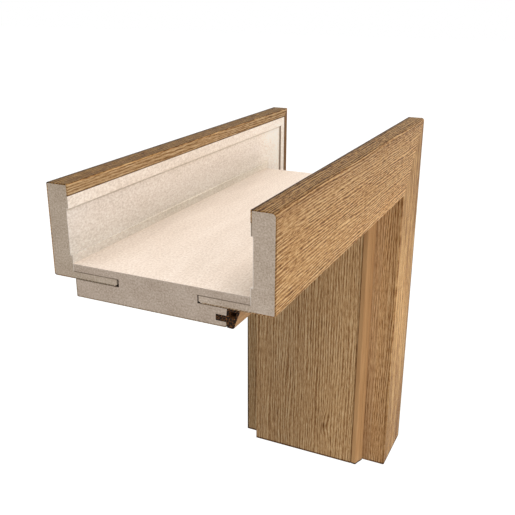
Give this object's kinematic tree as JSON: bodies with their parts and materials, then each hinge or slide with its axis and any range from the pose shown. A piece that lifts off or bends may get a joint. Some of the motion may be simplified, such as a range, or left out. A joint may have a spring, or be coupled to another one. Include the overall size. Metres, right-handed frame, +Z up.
{
  "type": "adjustable door casing frame corner",
  "caption": "Mitred corner of an adjustable door frame: a grooved lining with a fixed front casing, a sliding rear casing and a door seal.",
  "frame": {"origin": "on the jamb lining's wall side, at the frame's mid depth and halfway up the cut jamb", "axes": "+X along the head towards the outer corner and out of the jamb's wall side, +Y from the front casing to the rear casing, +Z up the jamb"},
  "size_m": [0.3375, 0.1518, 0.3374],
  "materials": {
    "mdf_board": "sawn and milled MDF, grey beige, matte",
    "oak_veneer": "real oak veneer, satin lacquer, grain along each run",
    "backing_film": "cream balancing film, matte, faintly mottled",
    "door_seal": "soft extruded seal, tan outside, dark brown at the cut"
  },
  "bodies": {
    "fixed_frame": {"head_lining_core": "mdf_board", "head_lining_veneer": "oak_veneer", "head_lining_backing": "backing_film", "head_front_casing_core": "mdf_board", "head_front_casing_veneer": "oak_veneer", "head_front_casing_backing": "backing_film", "head_door_seal": "door_seal", "jamb_lining_core": "mdf_board", "jamb_lining_veneer": "oak_veneer", "jamb_lining_backing": "backing_film", "jamb_front_casing_core": "mdf_board", "jamb_front_casing_veneer": "oak_veneer", "jamb_front_casing_backing": "backing_film", "jamb_door_seal": "door_seal"},
    "rear_casing": {"head_rear_casing_core": "mdf_board", "head_rear_casing_veneer": "oak_veneer", "head_rear_casing_backing": "backing_film", "jamb_rear_casing_core": "mdf_board", "jamb_rear_casing_veneer": "oak_veneer", "jamb_rear_casing_backing": "backing_film"}
  },
  "joints": [
    {"name": "rear_casing_slide", "type": "slide", "parent": "fixed_frame", "child": "rear_casing", "axis": [0, 1, 0], "range_m": [0, 0.02]}
  ]
}
